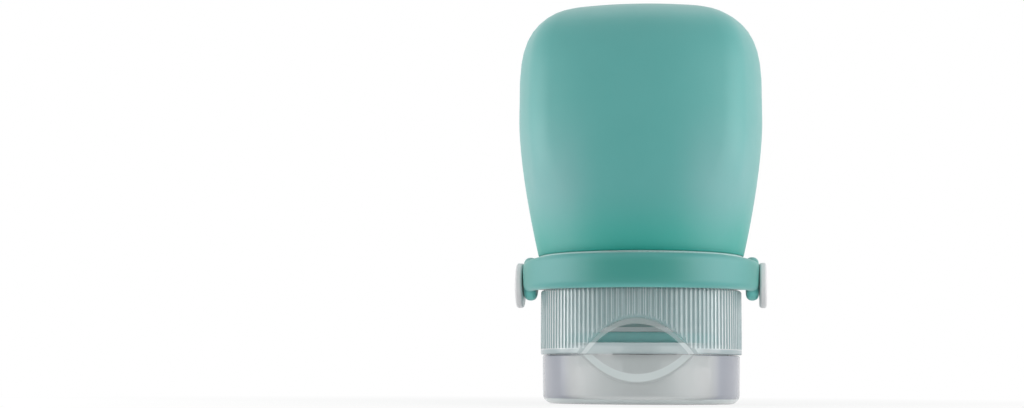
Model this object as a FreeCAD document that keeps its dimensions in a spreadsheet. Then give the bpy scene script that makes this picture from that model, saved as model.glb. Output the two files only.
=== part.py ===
import FreeCAD, Part

import math
import os
import re

import Sketcher
from FreeCAD import Placement, Rotation, Vector

# A soft travel bottle that stands on its closed cap. The origin is the centre of the lid's foot, +Z is up,
# the thumb recess and the strap face -Y, and the lid's hinge is at +Y. All lengths are in millimetres.
# The cap's radius leads: the lid, the neck, the collar, the strap and the body are set from it by steps.

SIZES = {
    # flip lid, from its foot up: its top stands back from the cap, and its foot from its top
    "lid_step": 0.4,
    "lid_draft": 0.15,
    "lid_height": 9.9,
    "lid_wall": 1.6,
    "lid_floor": 1.6,
    "lid_foot_round": 1.9,
    "plug_radius": 3.8,
    "plug_wall": 1.1,
    "plug_entry": 1.4,
    # thumb recess, deepest at the parting line between cap and lid
    "thumb_depth": 3.9,
    "thumb_rise": 8.1,
    "thumb_fall": 6.0,
    "thumb_wall": 1.2,
    # screw cap
    "parting_gap": 0.2,
    "cap_radius": 20.9,
    "cap_height": 13.3,
    "cap_wall": 1.75,
    "cap_top_round": 0.6,
    "edge_round": 0.25,
    "deck_thick": 2.2,
    "rib_count": 124,
    "rib_depth": 0.35,
    "rib_groove_radius": 0.4,
    "rib_foot": 1.1,
    "spigot_height": 2.4,
    "spigot_wall": 1.2,
    "spigot_clear": 0.3,
    "notch_clear": 0.4,
    "spout_radius": 5.8,
    "spout_bore": 4.2,
    "spout_height": 3.6,
    # valve and its ring, in a boss on the cap's deck
    "valve_radius": 7.0,
    "valve_flange": 1.2,
    "valve_head_radius": 3.9,
    "valve_wall": 0.8,
    "valve_drop": 2.5,
    "valve_head_round": 2.4,
    "slit_length": 4.4,
    "slit_width": 0.15,
    "boss_wall": 1.4,
    "boss_height": 3.0,
    "seat_fit": 0.05,
    "ring_thick": 1.6,
    "ring_bore": 4.6,
    # living hinge at the back
    "hinge_width": 14.0,
    "lug_stand": 0.4,
    "lug_height": 1.8,
    "film_radius": 0.9,
    "film_thick": 0.4,
    "film_groove": 0.2,
    # gasket on the cap's deck, set in from the neck
    "gasket_inset": 1.2,
    "gasket_width": 3.2,
    "gasket_thick": 2.2,
    # sleeve inside the neck, with the body's neck between it and the collar
    "neck_skin": 1.9,
    "insert_wall": 1.2,
    "insert_flange_step": 0.2,
    "insert_flange": 0.9,
    "insert_length": 9.0,
    # collar: threaded neck, strap seat and rim
    "thread_room": 1.4,
    "neck_wall": 1.8,
    "collar_gap": 0.3,
    "rim_lip": 1.9,
    "seat_height": 5.5,
    "seat_wall": 2.0,
    "web_thick": 1.5,
    "rim_stand": 0.5,
    "rim_height": 1.3,
    "rim_round": 0.4,
    # thread of the collar and the cap
    "thread_pitch": 4.0,
    "neck_thread_depth": 1.1,
    "cap_thread_depth": 1.05,
    "thread_root": 1.7,
    "thread_crest": 0.8,
    "thread_gap": 0.3,
    "thread_sink": 0.3,
    "thread_start": 1.15,
    "neck_turns": 1.05,
    "cap_turns": 0.75,
    # silicone body
    "body_swell": 4.1,
    "body_top": 82.0,
    "widest_height": 58.5,
    "body_wall": 2.0,
    "sleeve_fit": 0.05,
    # strap and its studs; the tilt, in degrees, is how far the strap hangs down in front
    "strap_clear": 0.4,
    "strap_thick": 2.7,
    "strap_height": 6.95,
    "strap_drop": 0.4,
    "strap_round": 1.2,
    "eye_radius": 4.55,
    "eye_fit": 0.08,
    "pivot_height": 2.25,
    "strap_tilt": 0.65,
    "pin_radius": 2.0,
    "peg_radius": 1.3,
    "pad_radius": 2.3,
    "pad_gap": 0.3,
    "head_radius": 4.7,
    "head_thick": 1.5,
    "head_drop": 1.36,
    "head_round": 0.5,
    "head_gap": 0.1,
    # how far a cut runs past what it cuts, and how closely an edge is found
    "overrun": 2.0,
    "edge_match": 0.001,
}

# Shape of the body: how fast the flanks swell, how square the crown's shoulder is, how flat the four sides
# are, where its sections lie, and over how much of the flank the sides turn from round to flat.
FLANK_POWER_SHARE = 1.55
CROWN_POWER_SHARE = 4.3
SIDE_FLATNESS_SHARE = 0.77
FLANK_SHARES = (1.0, 0.85, 0.7, 0.55, 0.4, 0.25, 0.12)
CROWN_SHARES = (0.0, 0.2, 0.4, 0.55, 0.68, 0.79, 0.87, 0.93, 0.97)
SQUARING_SHARE = 0.8

doc = FreeCAD.newDocument("travel_bottle")
sizes = doc.addObject("Spreadsheet::Sheet", "sizes")
for row, (alias, number) in enumerate(SIZES.items(), 1):
    sizes.set(f"A{row}", alias)
    sizes.set(f"B{row}", str(number))
    sizes.setAlias(f"B{row}", alias)
doc.recompute()

# Places and sizes that several pieces share, in words of the sheet.
LID_RADIUS = "(cap_radius - lid_step)"
LID_FOOT = f"({LID_RADIUS} - lid_draft)"
LID_INNER = f"({LID_RADIUS} - lid_wall)"
LID_MIDDLE = f"({LID_RADIUS} - lid_wall / 2)"
CAP_LOW = "(lid_height + parting_gap)"
DECK_TOP = f"({CAP_LOW} + deck_thick)"
CAP_TOP = f"({CAP_LOW} + cap_height)"
CAP_INNER = "(cap_radius - rib_depth - cap_wall)"
SPIGOT_LOW = f"({CAP_LOW} - spigot_height)"
SPIGOT_OUTER = f"({LID_INNER} - spigot_clear)"
SPIGOT_INNER = f"({SPIGOT_OUTER} - spigot_wall)"
SPOUT_TIP = f"({CAP_LOW} - spout_height)"
PLUG_TOP = f"({SPOUT_TIP} + plug_entry)"
BOSS_INNER = "(valve_radius + seat_fit)"
BOSS_OUTER = f"({BOSS_INNER} + boss_wall)"
BOSS_TOP = f"({DECK_TOP} + boss_height)"
RING_LOW = f"({DECK_TOP} + valve_flange)"
VALVE_LOW = f"({DECK_TOP} - valve_drop)"
THUMB_INNER = "(cap_radius - thumb_depth)"
THUMB_BACK = f"({THUMB_INNER} - thumb_wall)"
THUMB_WIDTH = f"(2 * sqrt({LID_MIDDLE}^2 - {THUMB_BACK}^2))"
LUG_REACH = "(cap_radius + lug_stand)"
GASKET_TOP = f"({DECK_TOP} + gasket_thick)"
COLLAR_LOW = f"({GASKET_TOP} + insert_flange)"
NECK_RADIUS = f"({CAP_INNER} - thread_room)"
NECK_BORE = f"({NECK_RADIUS} - neck_wall)"
INSERT_OUTER = f"({NECK_BORE} - neck_skin - 2 * sleeve_fit)"
INSERT_BORE = f"({INSERT_OUTER} - insert_wall)"
INSERT_FLANGE = f"({NECK_RADIUS} - insert_flange_step)"
GASKET_RADIUS = f"({NECK_RADIUS} - gasket_inset)"
RIM_RADIUS = "(cap_radius + rim_stand)"
SEAT_RADIUS = f"({RIM_RADIUS} - rim_lip)"
BODY_RADIUS = f"({RIM_RADIUS} + body_swell)"
SEAT_LOW = f"({CAP_TOP} + collar_gap)"
WEB_TOP = f"({SEAT_LOW} + web_thick)"
SEAT_TOP = f"({SEAT_LOW} + seat_height)"
SEAT_BORE = f"({SEAT_RADIUS} - seat_wall)"
RIM_TOP = f"({SEAT_TOP} + rim_height)"
STRAP_INNER = f"({RIM_RADIUS} + strap_clear)"
STRAP_OUTER = f"({STRAP_INNER} + strap_thick)"
STRAP_LOW = f"({SEAT_LOW} - strap_drop)"
STRAP_TOP = f"({STRAP_LOW} + strap_height)"
PIVOT_Z = f"({SEAT_LOW} + pivot_height)"
PAD_FACE = f"({STRAP_INNER} - pad_gap)"
HEAD_FACE = f"({STRAP_OUTER} + head_gap)"
HINGE_Z = "(lid_height + parting_gap / 2)"


def in_sheet(words):
    """The words as an expression on the sheet's cells; a word before a bracket is a function."""
    return re.sub(r"\b[a-z_]+\b(?!\()", lambda word: f"sizes.{word.group()}", words)


def measure(words):
    """The number that the words stand for, in millimetres."""
    probe = doc.getObject("probe") or doc.addObject("App::FeaturePython", "probe")
    if not hasattr(probe, "Number"):
        probe.addProperty("App::PropertyFloat", "Number")
    probe.setExpression("Number", in_sheet(words))
    probe.recompute()
    return probe.Number


def origin_feature(body, role):
    """A plane or axis of the body's own origin."""
    return next(part for part in body.Origin.OriginFeatures if part.Role == role)


def new_sketch(body, name, plane, offset="0"):
    """An empty sketch on one of the body's planes, or at an offset from it."""
    sketch = body.newObject("Sketcher::SketchObject", name)
    sketch.AttachmentSupport = (origin_feature(body, plane), [""])
    sketch.MapMode = "FlatFace"
    if offset != "0":
        sketch.setExpression("AttachmentOffset.Base.z", in_sheet(offset))
    return sketch


def pin_corner(sketch, corner, kind, words):
    """Hold a corner at a distance from the sketch's origin, along one of its axes."""
    if words == "0":
        axis = -2 if kind == "DistanceX" else -1
        sketch.addConstraint(Sketcher.Constraint("PointOnObject", *corner, axis))
        return
    ends = (*corner, -1, 1) if words.startswith("-") else (-1, 1, *corner)
    number = sketch.addConstraint(Sketcher.Constraint(kind, *ends, abs(measure(words))))
    sketch.setExpression(f"Constraints[{number}]", in_sheet(words.lstrip("-")))


def outline(body, name, plane, corners, offset="0"):
    """A closed sketch of straight lines through corners given in words of the sheet."""
    sketch = new_sketch(body, name, plane, offset)
    points = [Vector(measure(across), measure(up), 0) for across, up in corners]
    count = len(points)
    for index in range(count):
        sketch.addGeometry(Part.LineSegment(points[index], points[(index + 1) % count]))
    for index in range(count):
        sketch.addConstraint(Sketcher.Constraint("Coincident", index, 2, (index + 1) % count, 1))
    for index, (across, up) in enumerate(corners):
        pin_corner(sketch, (index, 1), "DistanceX", across)
        pin_corner(sketch, (index, 1), "DistanceY", up)
    return sketch


def disc(body, name, plane, across, up, radius, offset="0"):
    """A sketch of one circle."""
    sketch = new_sketch(body, name, plane, offset)
    centre = Vector(measure(across), measure(up), 0)
    sketch.addGeometry(Part.Circle(centre, Vector(0, 0, 1), measure(radius)))
    pin_corner(sketch, (0, 3), "DistanceX", across)
    pin_corner(sketch, (0, 3), "DistanceY", up)
    number = sketch.addConstraint(Sketcher.Constraint("Radius", 0, measure(radius)))
    sketch.setExpression(f"Constraints[{number}]", in_sheet(radius))
    return sketch


def feature(body, kind, name, sketch, **settings):
    """A feature made from a sketch; words among the settings become expressions."""
    made = body.newObject(f"PartDesign::{kind}", name)
    made.Profile = sketch
    for key, setting in settings.items():
        if key in ("Length", "Pitch", "Turns"):
            made.setExpression(key, in_sheet(setting))
        else:
            setattr(made, key, setting)
    before = made.BaseFeature.Shape.Volume if made.BaseFeature else 0
    doc.recompute()
    if made.Shape.Volume == before:
        raise RuntimeError(f"{name} changes nothing")
    return made


def turned(body, name, corners, kind="Revolution", **settings):
    """A solid, or a cut, turned about the body's upright axis."""
    sketch = outline(body, f"{name}_outline", "XZ_Plane", corners)
    return feature(body, kind, name, sketch, ReferenceAxis=(sketch, ["V_Axis"]), **settings)


def across(body, name, corners, kind, width):
    """A bar or a cut whose outline lies in the YZ plane, with the same width to left and right."""
    sketch = outline(body, f"{name}_outline", "YZ_Plane", corners)
    return feature(body, kind, name, sketch, SideType="Symmetric", Length=width)


def side_disc(body, name, side, height, radius, face, length):
    """A round pad that stands on a face to the left or right, axis along X."""
    offset = face if side > 0 else f"-{face}"
    sketch = disc(body, f"{name}_outline", "YZ_Plane", "0", height, radius, offset)
    return feature(body, "Pad", name, sketch, Length=length, Reversed=side < 0)


def ring_edges(shape, radius, height):
    """The names of the round, level edges of a given radius and height."""
    found = []
    for number, edge in enumerate(shape.Edges, 1):
        curve = edge.Curve
        if not isinstance(curve, Part.Circle):
            continue
        near = abs(curve.Radius - radius) + abs(curve.Center.z - height) < sizes.edge_match
        if near:
            found.append(f"Edge{number}")
    return found


def rounded(body, name, edges, radius):
    """A fillet on named edges of the body's last feature."""
    fillet = body.newObject("PartDesign::Fillet", name)
    fillet.Base = (fillet.BaseFeature, edges)
    fillet.setExpression("Radius", in_sheet(radius))
    doc.recompute()
    return fillet


def rounded_rings(body, name, radius, *places):
    """A fillet on level round edges, each given by its own radius and height."""
    edges = []
    for ring_radius, height in places:
        edges += ring_edges(body.Shape, measure(ring_radius), measure(height))
    return rounded(body, name, edges, radius)


def new_body(name):
    """A new, empty piece."""
    return doc.addObject("PartDesign::Body", name)


def thread(body, name, base_radius, crest_radius, height, turns):
    """A right-hand thread ridge of one start, sunk a little into the wall that carries it."""
    sink = "- thread_sink" if measure(crest_radius) > measure(base_radius) else "+ thread_sink"
    corners = [
        (f"{base_radius} {sink}", f"{height} - thread_root / 2"),
        (crest_radius, f"{height} - thread_crest / 2"),
        (crest_radius, f"{height} + thread_crest / 2"),
        (f"{base_radius} {sink}", f"{height} + thread_root / 2"),
    ]
    sketch = outline(body, f"{name}_outline", "XZ_Plane", corners)
    return feature(
        body,
        "AdditiveHelix",
        name,
        sketch,
        ReferenceAxis=(sketch, ["V_Axis"]),
        Mode="pitch-turns-angle",
        Pitch="thread_pitch",
        Turns=turns,
    )


def thumb_pad(body, name, low, high, back_low, back_high, outer):
    """The wall behind the thumb recess, a slanted plate that fills in from the piece's own wall."""
    corners = [(f"-{back_low}", low), (f"-{back_high}", high), (f"-{outer}", high), (f"-{outer}", low)]
    return across(body, name, corners, "Pad", THUMB_WIDTH)


def make_flip_lid():
    body = new_body("flip_lid")
    turned(
        body,
        "lid_cup",
        [
            ("0", "0"),
            (LID_FOOT, "0"),
            (LID_RADIUS, "lid_height"),
            (LID_INNER, "lid_height"),
            (LID_INNER, "lid_floor"),
            ("plug_radius", "lid_floor"),
            ("plug_radius", PLUG_TOP),
            ("plug_radius - plug_wall", PLUG_TOP),
            ("plug_radius - plug_wall", "lid_floor"),
            ("0", "lid_floor"),
        ],
    )
    thumb_low = "(lid_height - thumb_fall)"
    pad_back = f"({LID_MIDDLE} - thumb_wall)"
    thumb_pad(body, "lid_thumb_pad", thumb_low, "lid_height", pad_back, THUMB_BACK, LID_MIDDLE)
    turned(
        body,
        "lid_trim",
        [
            (LID_FOOT, "0"),
            (LID_RADIUS, "lid_height"),
            (f"{LID_RADIUS} + thumb_depth", "lid_height"),
            (f"{LID_RADIUS} + thumb_depth", "0"),
        ],
        kind="Groove",
    )
    rounded_rings(body, "lid_foot_edge", "lid_foot_round", (LID_FOOT, "0"))
    rounded_rings(body, "lid_edges", "edge_round", (LID_RADIUS, "lid_height"), ("plug_radius", PLUG_TOP))
    across(
        body,
        "lid_thumb_recess",
        [
            (f"-{THUMB_INNER}", "lid_height + overrun"),
            (f"-{THUMB_INNER}", "lid_height"),
            (f"-{LID_RADIUS}", thumb_low),
            (f"-({LID_RADIUS} + overrun)", thumb_low),
            (f"-({LID_RADIUS} + overrun)", "lid_height + overrun"),
        ],
        "Pocket",
        f"2 * {LID_RADIUS}",
    )
    across(
        body,
        "lid_lug",
        [
            (LID_INNER, "lid_height - lug_height"),
            (LUG_REACH, "lid_height - lug_height"),
            (LUG_REACH, "lid_height"),
            (LID_INNER, "lid_height"),
        ],
        "Pad",
        "hinge_width",
    )
    return body


def make_screw_cap():
    body = new_body("screw_cap")
    turned(
        body,
        "cap_shell",
        [
            ("spout_bore", SPOUT_TIP),
            ("spout_radius", SPOUT_TIP),
            ("spout_radius", CAP_LOW),
            (SPIGOT_INNER, CAP_LOW),
            (SPIGOT_INNER, SPIGOT_LOW),
            (SPIGOT_OUTER, SPIGOT_LOW),
            (SPIGOT_OUTER, CAP_LOW),
            ("cap_radius", CAP_LOW),
            ("cap_radius", CAP_TOP),
            (CAP_INNER, CAP_TOP),
            (CAP_INNER, DECK_TOP),
            (BOSS_OUTER, DECK_TOP),
            (BOSS_OUTER, BOSS_TOP),
            (BOSS_INNER, BOSS_TOP),
            (BOSS_INNER, DECK_TOP),
            ("spout_bore", DECK_TOP),
        ],
    )
    thumb_high = f"({CAP_LOW} + thumb_rise)"
    pad_low = f"({DECK_TOP} - deck_thick / 2)"
    middle = "(cap_radius - rib_depth - cap_wall / 2)"
    slope = "(thumb_depth / thumb_rise)"
    pad_back = f"({THUMB_BACK} + {slope} * deck_thick / 2)"
    thumb_pad(body, "cap_thumb_pad", pad_low, thumb_high, pad_back, "(cap_radius - thumb_wall)", middle)
    turned(
        body,
        "cap_trim",
        [
            ("cap_radius", CAP_LOW),
            ("cap_radius", CAP_TOP),
            ("cap_radius + thumb_depth", CAP_TOP),
            ("cap_radius + thumb_depth", CAP_LOW),
        ],
        kind="Groove",
    )
    rounded_rings(body, "cap_top_edge", "cap_top_round", ("cap_radius", CAP_TOP))
    rounded_rings(body, "cap_edges", "edge_round", ("cap_radius", CAP_LOW), ("spout_radius", SPOUT_TIP))
    across(
        body,
        "cap_thumb_recess",
        [
            (f"-{THUMB_INNER}", f"{CAP_LOW} - spigot_height - overrun"),
            (f"-{THUMB_INNER}", CAP_LOW),
            ("-cap_radius", thumb_high),
            ("-(cap_radius + overrun)", thumb_high),
            ("-(cap_radius + overrun)", f"{CAP_LOW} - spigot_height - overrun"),
        ],
        "Pocket",
        "2 * cap_radius",
    )
    across(
        body,
        "spigot_notch",
        [
            (f"-({THUMB_BACK} - notch_clear)", f"{SPIGOT_LOW} - overrun"),
            (f"-({THUMB_BACK} - notch_clear)", CAP_LOW),
            (f"-({SPIGOT_OUTER} + overrun)", CAP_LOW),
            (f"-({SPIGOT_OUTER} + overrun)", f"{SPIGOT_LOW} - overrun"),
        ],
        "Pocket",
        "2 * cap_radius",
    )
    groove_centre = "(cap_radius - rib_depth + rib_groove_radius)"
    rib_low = f"{CAP_LOW} + rib_foot"
    groove = disc(body, "rib_groove_outline", "XY_Plane", groove_centre, "0", "rib_groove_radius", rib_low)
    cut = feature(body, "Pocket", "rib_groove", groove, Reversed=True, Length="cap_height")
    ribs = body.newObject("PartDesign::PolarPattern", "ribs")
    ribs.Originals = [cut]
    ribs.Axis = (origin_feature(body, "Z_Axis"), [""])
    ribs.setExpression("Occurrences", in_sheet("rib_count"))
    body.Tip = ribs
    doc.recompute()
    across(
        body,
        "cap_lug",
        [
            (CAP_INNER, CAP_LOW),
            (LUG_REACH, CAP_LOW),
            (LUG_REACH, f"{CAP_LOW} + lug_height"),
            (CAP_INNER, f"{CAP_LOW} + lug_height"),
        ],
        "Pad",
        "hinge_width",
    )
    height = f"({COLLAR_LOW} + thread_start + (thread_root + thread_crest) / 2 + thread_gap)"
    thread(body, "cap_thread", CAP_INNER, f"({CAP_INNER} - cap_thread_depth)", height, "cap_turns")
    return body


def make_no_drip_valve():
    body = new_body("no_drip_valve")
    inner = "(valve_head_radius - valve_wall)"
    turned(
        body,
        "valve_cup",
        [
            ("0", VALVE_LOW),
            ("valve_head_radius", VALVE_LOW),
            ("valve_head_radius", DECK_TOP),
            ("valve_radius", DECK_TOP),
            ("valve_radius", RING_LOW),
            (inner, RING_LOW),
            (inner, f"{VALVE_LOW} + valve_wall"),
            ("0", f"{VALVE_LOW} + valve_wall"),
        ],
    )
    rounded_rings(body, "valve_dome", "valve_head_round", ("valve_head_radius", VALVE_LOW))
    rounded_rings(body, "valve_hollow", "valve_head_round - valve_wall", (inner, f"{VALVE_LOW} + valve_wall"))
    slits = (("slit", "slit_length", "slit_width"), ("cross_slit", "slit_width", "slit_length"))
    for name, long_side, short_side in slits:
        left = f"-({long_side} / 2)"
        right = f"({long_side} / 2)"
        front = f"-({short_side} / 2)"
        back = f"({short_side} / 2)"
        corners = [(left, front), (right, front), (right, back), (left, back)]
        sketch = outline(body, f"{name}_outline", "XY_Plane", corners, f"{VALVE_LOW} - valve_wall")
        feature(body, "Pocket", name, sketch, Reversed=True, Length="3 * valve_wall")
    return body


def make_valve_retainer():
    body = new_body("valve_retainer")
    top = f"{RING_LOW} + ring_thick"
    corners = [("ring_bore", RING_LOW), ("valve_radius", RING_LOW), ("valve_radius", top), ("ring_bore", top)]
    turned(body, "ring", corners)
    rounded_rings(body, "ring_edges", "edge_round", ("ring_bore", top), ("valve_radius", top))
    return body


def make_cap_gasket():
    body = new_body("cap_gasket")
    bore = f"({GASKET_RADIUS} - gasket_width)"
    outer_edges = [(GASKET_RADIUS, DECK_TOP), (GASKET_RADIUS, GASKET_TOP)]
    turned(body, "gasket", [(bore, DECK_TOP), *outer_edges, (bore, GASKET_TOP)])
    rounded_rings(body, "gasket_edges", "edge_round", *outer_edges)
    return body


def make_neck_insert():
    body = new_body("neck_insert")
    top = f"{COLLAR_LOW} + insert_length"
    turned(
        body,
        "sleeve",
        [
            (INSERT_BORE, GASKET_TOP),
            (INSERT_FLANGE, GASKET_TOP),
            (INSERT_FLANGE, COLLAR_LOW),
            (INSERT_OUTER, COLLAR_LOW),
            (INSERT_OUTER, top),
            (INSERT_BORE, top),
        ],
    )
    rounded_rings(body, "sleeve_edges", "edge_round", (INSERT_OUTER, top), (INSERT_FLANGE, GASKET_TOP))
    return body


def make_neck_collar():
    body = new_body("neck_collar")
    turned(
        body,
        "collar",
        [
            (NECK_BORE, COLLAR_LOW),
            (NECK_RADIUS, COLLAR_LOW),
            (NECK_RADIUS, SEAT_LOW),
            (SEAT_RADIUS, SEAT_LOW),
            (SEAT_RADIUS, SEAT_TOP),
            (RIM_RADIUS, SEAT_TOP),
            (RIM_RADIUS, RIM_TOP),
            (SEAT_BORE, RIM_TOP),
            (SEAT_BORE, WEB_TOP),
            (NECK_BORE, WEB_TOP),
        ],
    )
    rounded_rings(body, "rim_edges", "rim_round", (RIM_RADIUS, SEAT_TOP), (RIM_RADIUS, RIM_TOP))
    pad_root = f"({SEAT_BORE} + seat_wall / 2)"
    for name, side in (("right_pad", 1), ("left_pad", -1)):
        side_disc(body, name, side, PIVOT_Z, "pad_radius", pad_root, f"{PAD_FACE} - {pad_root}")
    peg_sketch = disc(body, "peg_hole_outline", "YZ_Plane", "0", PIVOT_Z, "peg_radius")
    peg_reach = f"2 * ({PAD_FACE} + overrun)"
    feature(body, "Pocket", "peg_holes", peg_sketch, SideType="Symmetric", Length=peg_reach)
    height = f"({COLLAR_LOW} + thread_start)"
    thread(body, "neck_thread", NECK_RADIUS, f"({NECK_RADIUS} + neck_thread_depth)", height, "neck_turns")
    return body


def soft_square(half_width, flatness, height):
    """A level wire of eight tangent arcs, four flat sides and four corners: a circle where flatness is 0."""
    sector = math.pi / 8
    side = half_width * (1 + flatness)
    corner = side - (side - half_width) / (math.cos(sector) - math.sin(sector))
    reach = (side - corner) * math.sin(sector)
    edges = []
    for quarter in range(4):
        turn = Rotation(Vector(0, 0, 1), 90 * quarter)
        for centre, radius, start, stop in (
            (Vector(half_width - side, 0, height), side, -sector, sector),
            (Vector(reach, reach, height), corner, sector, math.pi / 2 - sector),
        ):
            angles = (start, (start + stop) / 2, stop)
            points = [centre + Vector(math.cos(a), math.sin(a), 0) * radius for a in angles]
            edges.append(Part.Arc(*[turn.multVec(point) for point in points]).toShape())
    return Part.Wire(edges)


def body_form(half_width, shoulder_half_width, low, top):
    """The soft bottle's form: flanks that swell from a round shoulder, then a crown with a flat middle."""
    widest = sizes.widest_height
    wires = []
    for share in FLANK_SHARES:
        height = widest - (widest - low) * share
        width = half_width - (half_width - shoulder_half_width) * share**FLANK_POWER_SHARE
        squared = min((1 - share) / SQUARING_SHARE, 1)
        flatness = SIDE_FLATNESS_SHARE * squared**2 * (3 - 2 * squared)
        wires.append(soft_square(width, flatness, height))
    for share in CROWN_SHARES:
        angle = share * math.pi / 2
        width = half_width * math.cos(angle) ** (2 / CROWN_POWER_SHARE)
        height = widest + (top - widest) * math.sin(angle) ** (2 / CROWN_POWER_SHARE)
        wires.append(soft_square(width, SIDE_FLATNESS_SHARE, height))
    return Part.makeLoft(wires, True, False)


def tube(outer, inner, low, high):
    """A plain upright tube."""
    base = Vector(0, 0, low)
    return Part.makeCylinder(outer, high - low, base).cut(Part.makeCylinder(inner, high - low, base))


def make_squeeze_body():
    """The silicone body: its sections change from round to square, which no sketch-based feature follows."""
    wall = sizes.body_wall
    half_width = measure(BODY_RADIUS)
    shoulder = measure(RIM_RADIUS)
    rim_top = measure(RIM_TOP)
    step = measure(f"{WEB_TOP} + sleeve_fit")
    floor = rim_top + wall
    bore = measure(f"{INSERT_OUTER} + sleeve_fit")
    outer = body_form(half_width, shoulder, rim_top, sizes.body_top)
    floor_share = (sizes.widest_height - floor) / (sizes.widest_height - rim_top)
    floor_width = half_width - (half_width - shoulder) * floor_share**FLANK_POWER_SHARE
    inner = body_form(half_width - wall, floor_width - wall, floor, sizes.body_top - wall)
    lower_neck = tube(measure(f"{NECK_BORE} - sleeve_fit"), bore, measure(COLLAR_LOW), step)
    upper_neck = tube(measure(f"{SEAT_BORE} - sleeve_fit"), bore, step, rim_top)
    mouth = Part.makeCylinder(bore, wall, Vector(0, 0, rim_top))
    flare = Part.makeCone(bore, bore + wall, wall, Vector(0, 0, rim_top))
    shape = outer.cut(inner).cut(mouth).cut(flare).fuse([lower_neck, upper_neck]).removeSplitter()
    piece = doc.addObject("Part::Feature", "squeeze_body")
    piece.Shape = shape
    piece.Placement = Placement()
    return piece


def side_rings(body, radius, height, *faces):
    """The names of the round upright edges of a given radius about X, at given distances to the side."""
    found = []
    for number, edge in enumerate(body.Shape.Edges, 1):
        curve = edge.Curve
        if not isinstance(curve, Part.Circle):
            continue
        same = abs(curve.Radius - radius) + abs(curve.Center.z - height) < sizes.edge_match
        if same and any(abs(abs(curve.Center.x) - face) < sizes.edge_match for face in faces):
            found.append(f"Edge{number}")
    return found


def make_strap_eye(name, side):
    """One round end of the strap, before its hole."""
    body = new_body(name)
    side_disc(body, f"{name}_disc", side, PIVOT_Z, "eye_radius", STRAP_INNER, "strap_thick")
    edges = side_rings(body, sizes.eye_radius, measure(PIVOT_Z), measure(STRAP_INNER), measure(STRAP_OUTER))
    rounded(body, f"{name}_edges", edges, "strap_round")
    return body


def make_carry_strap():
    band = new_body("strap_band")
    low_edges = [(STRAP_INNER, STRAP_LOW), (STRAP_OUTER, STRAP_LOW)]
    high_edges = [(STRAP_OUTER, STRAP_TOP), (STRAP_INNER, STRAP_TOP)]
    turned(band, "band", low_edges + high_edges, Angle=180, Reversed=True)
    rounded_rings(band, "band_edges", "strap_round", *low_edges, *high_edges)
    whole = doc.addObject("Part::MultiFuse", "strap_whole")
    whole.Shapes = [band, make_strap_eye("right_eye", 1), make_strap_eye("left_eye", -1)]
    hole = doc.addObject("Part::Cylinder", "eye_holes")
    hole.setExpression("Radius", in_sheet("pin_radius + eye_fit"))
    hole.setExpression("Height", in_sheet(f"2 * ({STRAP_OUTER} + overrun)"))
    hole.Placement = Placement(Vector(0, 0, 0), Rotation(Vector(0, 1, 0), 90))
    hole.setExpression("Placement.Base.x", in_sheet(f"-({STRAP_OUTER} + overrun)"))
    hole.setExpression("Placement.Base.z", in_sheet(PIVOT_Z))
    strap = doc.addObject("Part::Cut", "carry_strap")
    strap.Base = whole
    strap.Tool = hole
    strap.Placement = Placement(Vector(0, 0, 0), Rotation(Vector(1, 0, 0), sizes.strap_tilt))
    strap.setExpression("Placement.Rotation.Angle", in_sheet("strap_tilt"))
    strap.setExpression("Placement.Base.y", in_sheet(f"{PIVOT_Z} * sin(strap_tilt)"))
    strap.setExpression("Placement.Base.z", in_sheet(f"{PIVOT_Z} * (1 - cos(strap_tilt))"))
    doc.recompute()
    return strap


def make_strap_button(name, side):
    body = new_body(name)
    head_z = f"({PIVOT_Z} - head_drop)"
    side_disc(body, f"{name}_head", side, head_z, "head_radius", HEAD_FACE, "head_thick")
    faces = (measure(HEAD_FACE), measure(f"{HEAD_FACE} + head_thick"))
    edges = side_rings(body, sizes.head_radius, measure(head_z), *faces)
    rounded(body, f"{name}_rim", edges, "head_round")
    pin_length = f"{HEAD_FACE} - {PAD_FACE} + head_thick / 2"
    side_disc(body, f"{name}_pin", side, PIVOT_Z, "pin_radius", PAD_FACE, pin_length)
    peg_length = f"{PAD_FACE} - {SEAT_BORE} + head_gap"
    side_disc(body, f"{name}_peg", side, PIVOT_Z, "peg_radius", SEAT_BORE, peg_length)
    return body


def hinge_rod(name, radius, reach, angle):
    """A rod along the hinge, or half of one that bulges to the back."""
    rod = doc.addObject("Part::Cylinder", name)
    rod.setExpression("Radius", in_sheet(radius))
    rod.setExpression("Height", in_sheet("hinge_width"))
    rod.Angle = angle
    rod.Placement = Placement(Vector(0, 0, 0), Rotation(Vector(0, 1, 0), 90))
    rod.setExpression("Placement.Base.x", in_sheet("-hinge_width / 2"))
    rod.setExpression("Placement.Base.y", in_sheet(reach))
    rod.setExpression("Placement.Base.z", in_sheet(HINGE_Z))
    return rod


def make_lid_hinge():
    bow = doc.addObject("Part::Cut", "film_bow")
    bow.Base = hinge_rod("film_outside", "film_radius", LUG_REACH, 180)
    bow.Tool = hinge_rod("film_inside", "film_radius - film_thick", LUG_REACH, 360)
    film = doc.addObject("Part::Cut", "lid_hinge")
    film.Base = bow
    film.Tool = hinge_rod("film_bend_groove", "film_groove", f"{LUG_REACH} + film_radius", 360)
    doc.recompute()
    return film


def check(pieces):
    """Stop if any object failed, or a piece is not one sound solid."""
    for thing in doc.Objects:
        if {"Invalid", "Error"} & set(thing.State):
            raise RuntimeError(f"{thing.Name} failed: {thing.State}")
    for piece in pieces:
        shape = piece.Shape
        if shape.isNull() or not shape.isValid() or len(shape.Solids) != 1:
            raise RuntimeError(f"{piece.Label} is not one sound solid")


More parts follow.
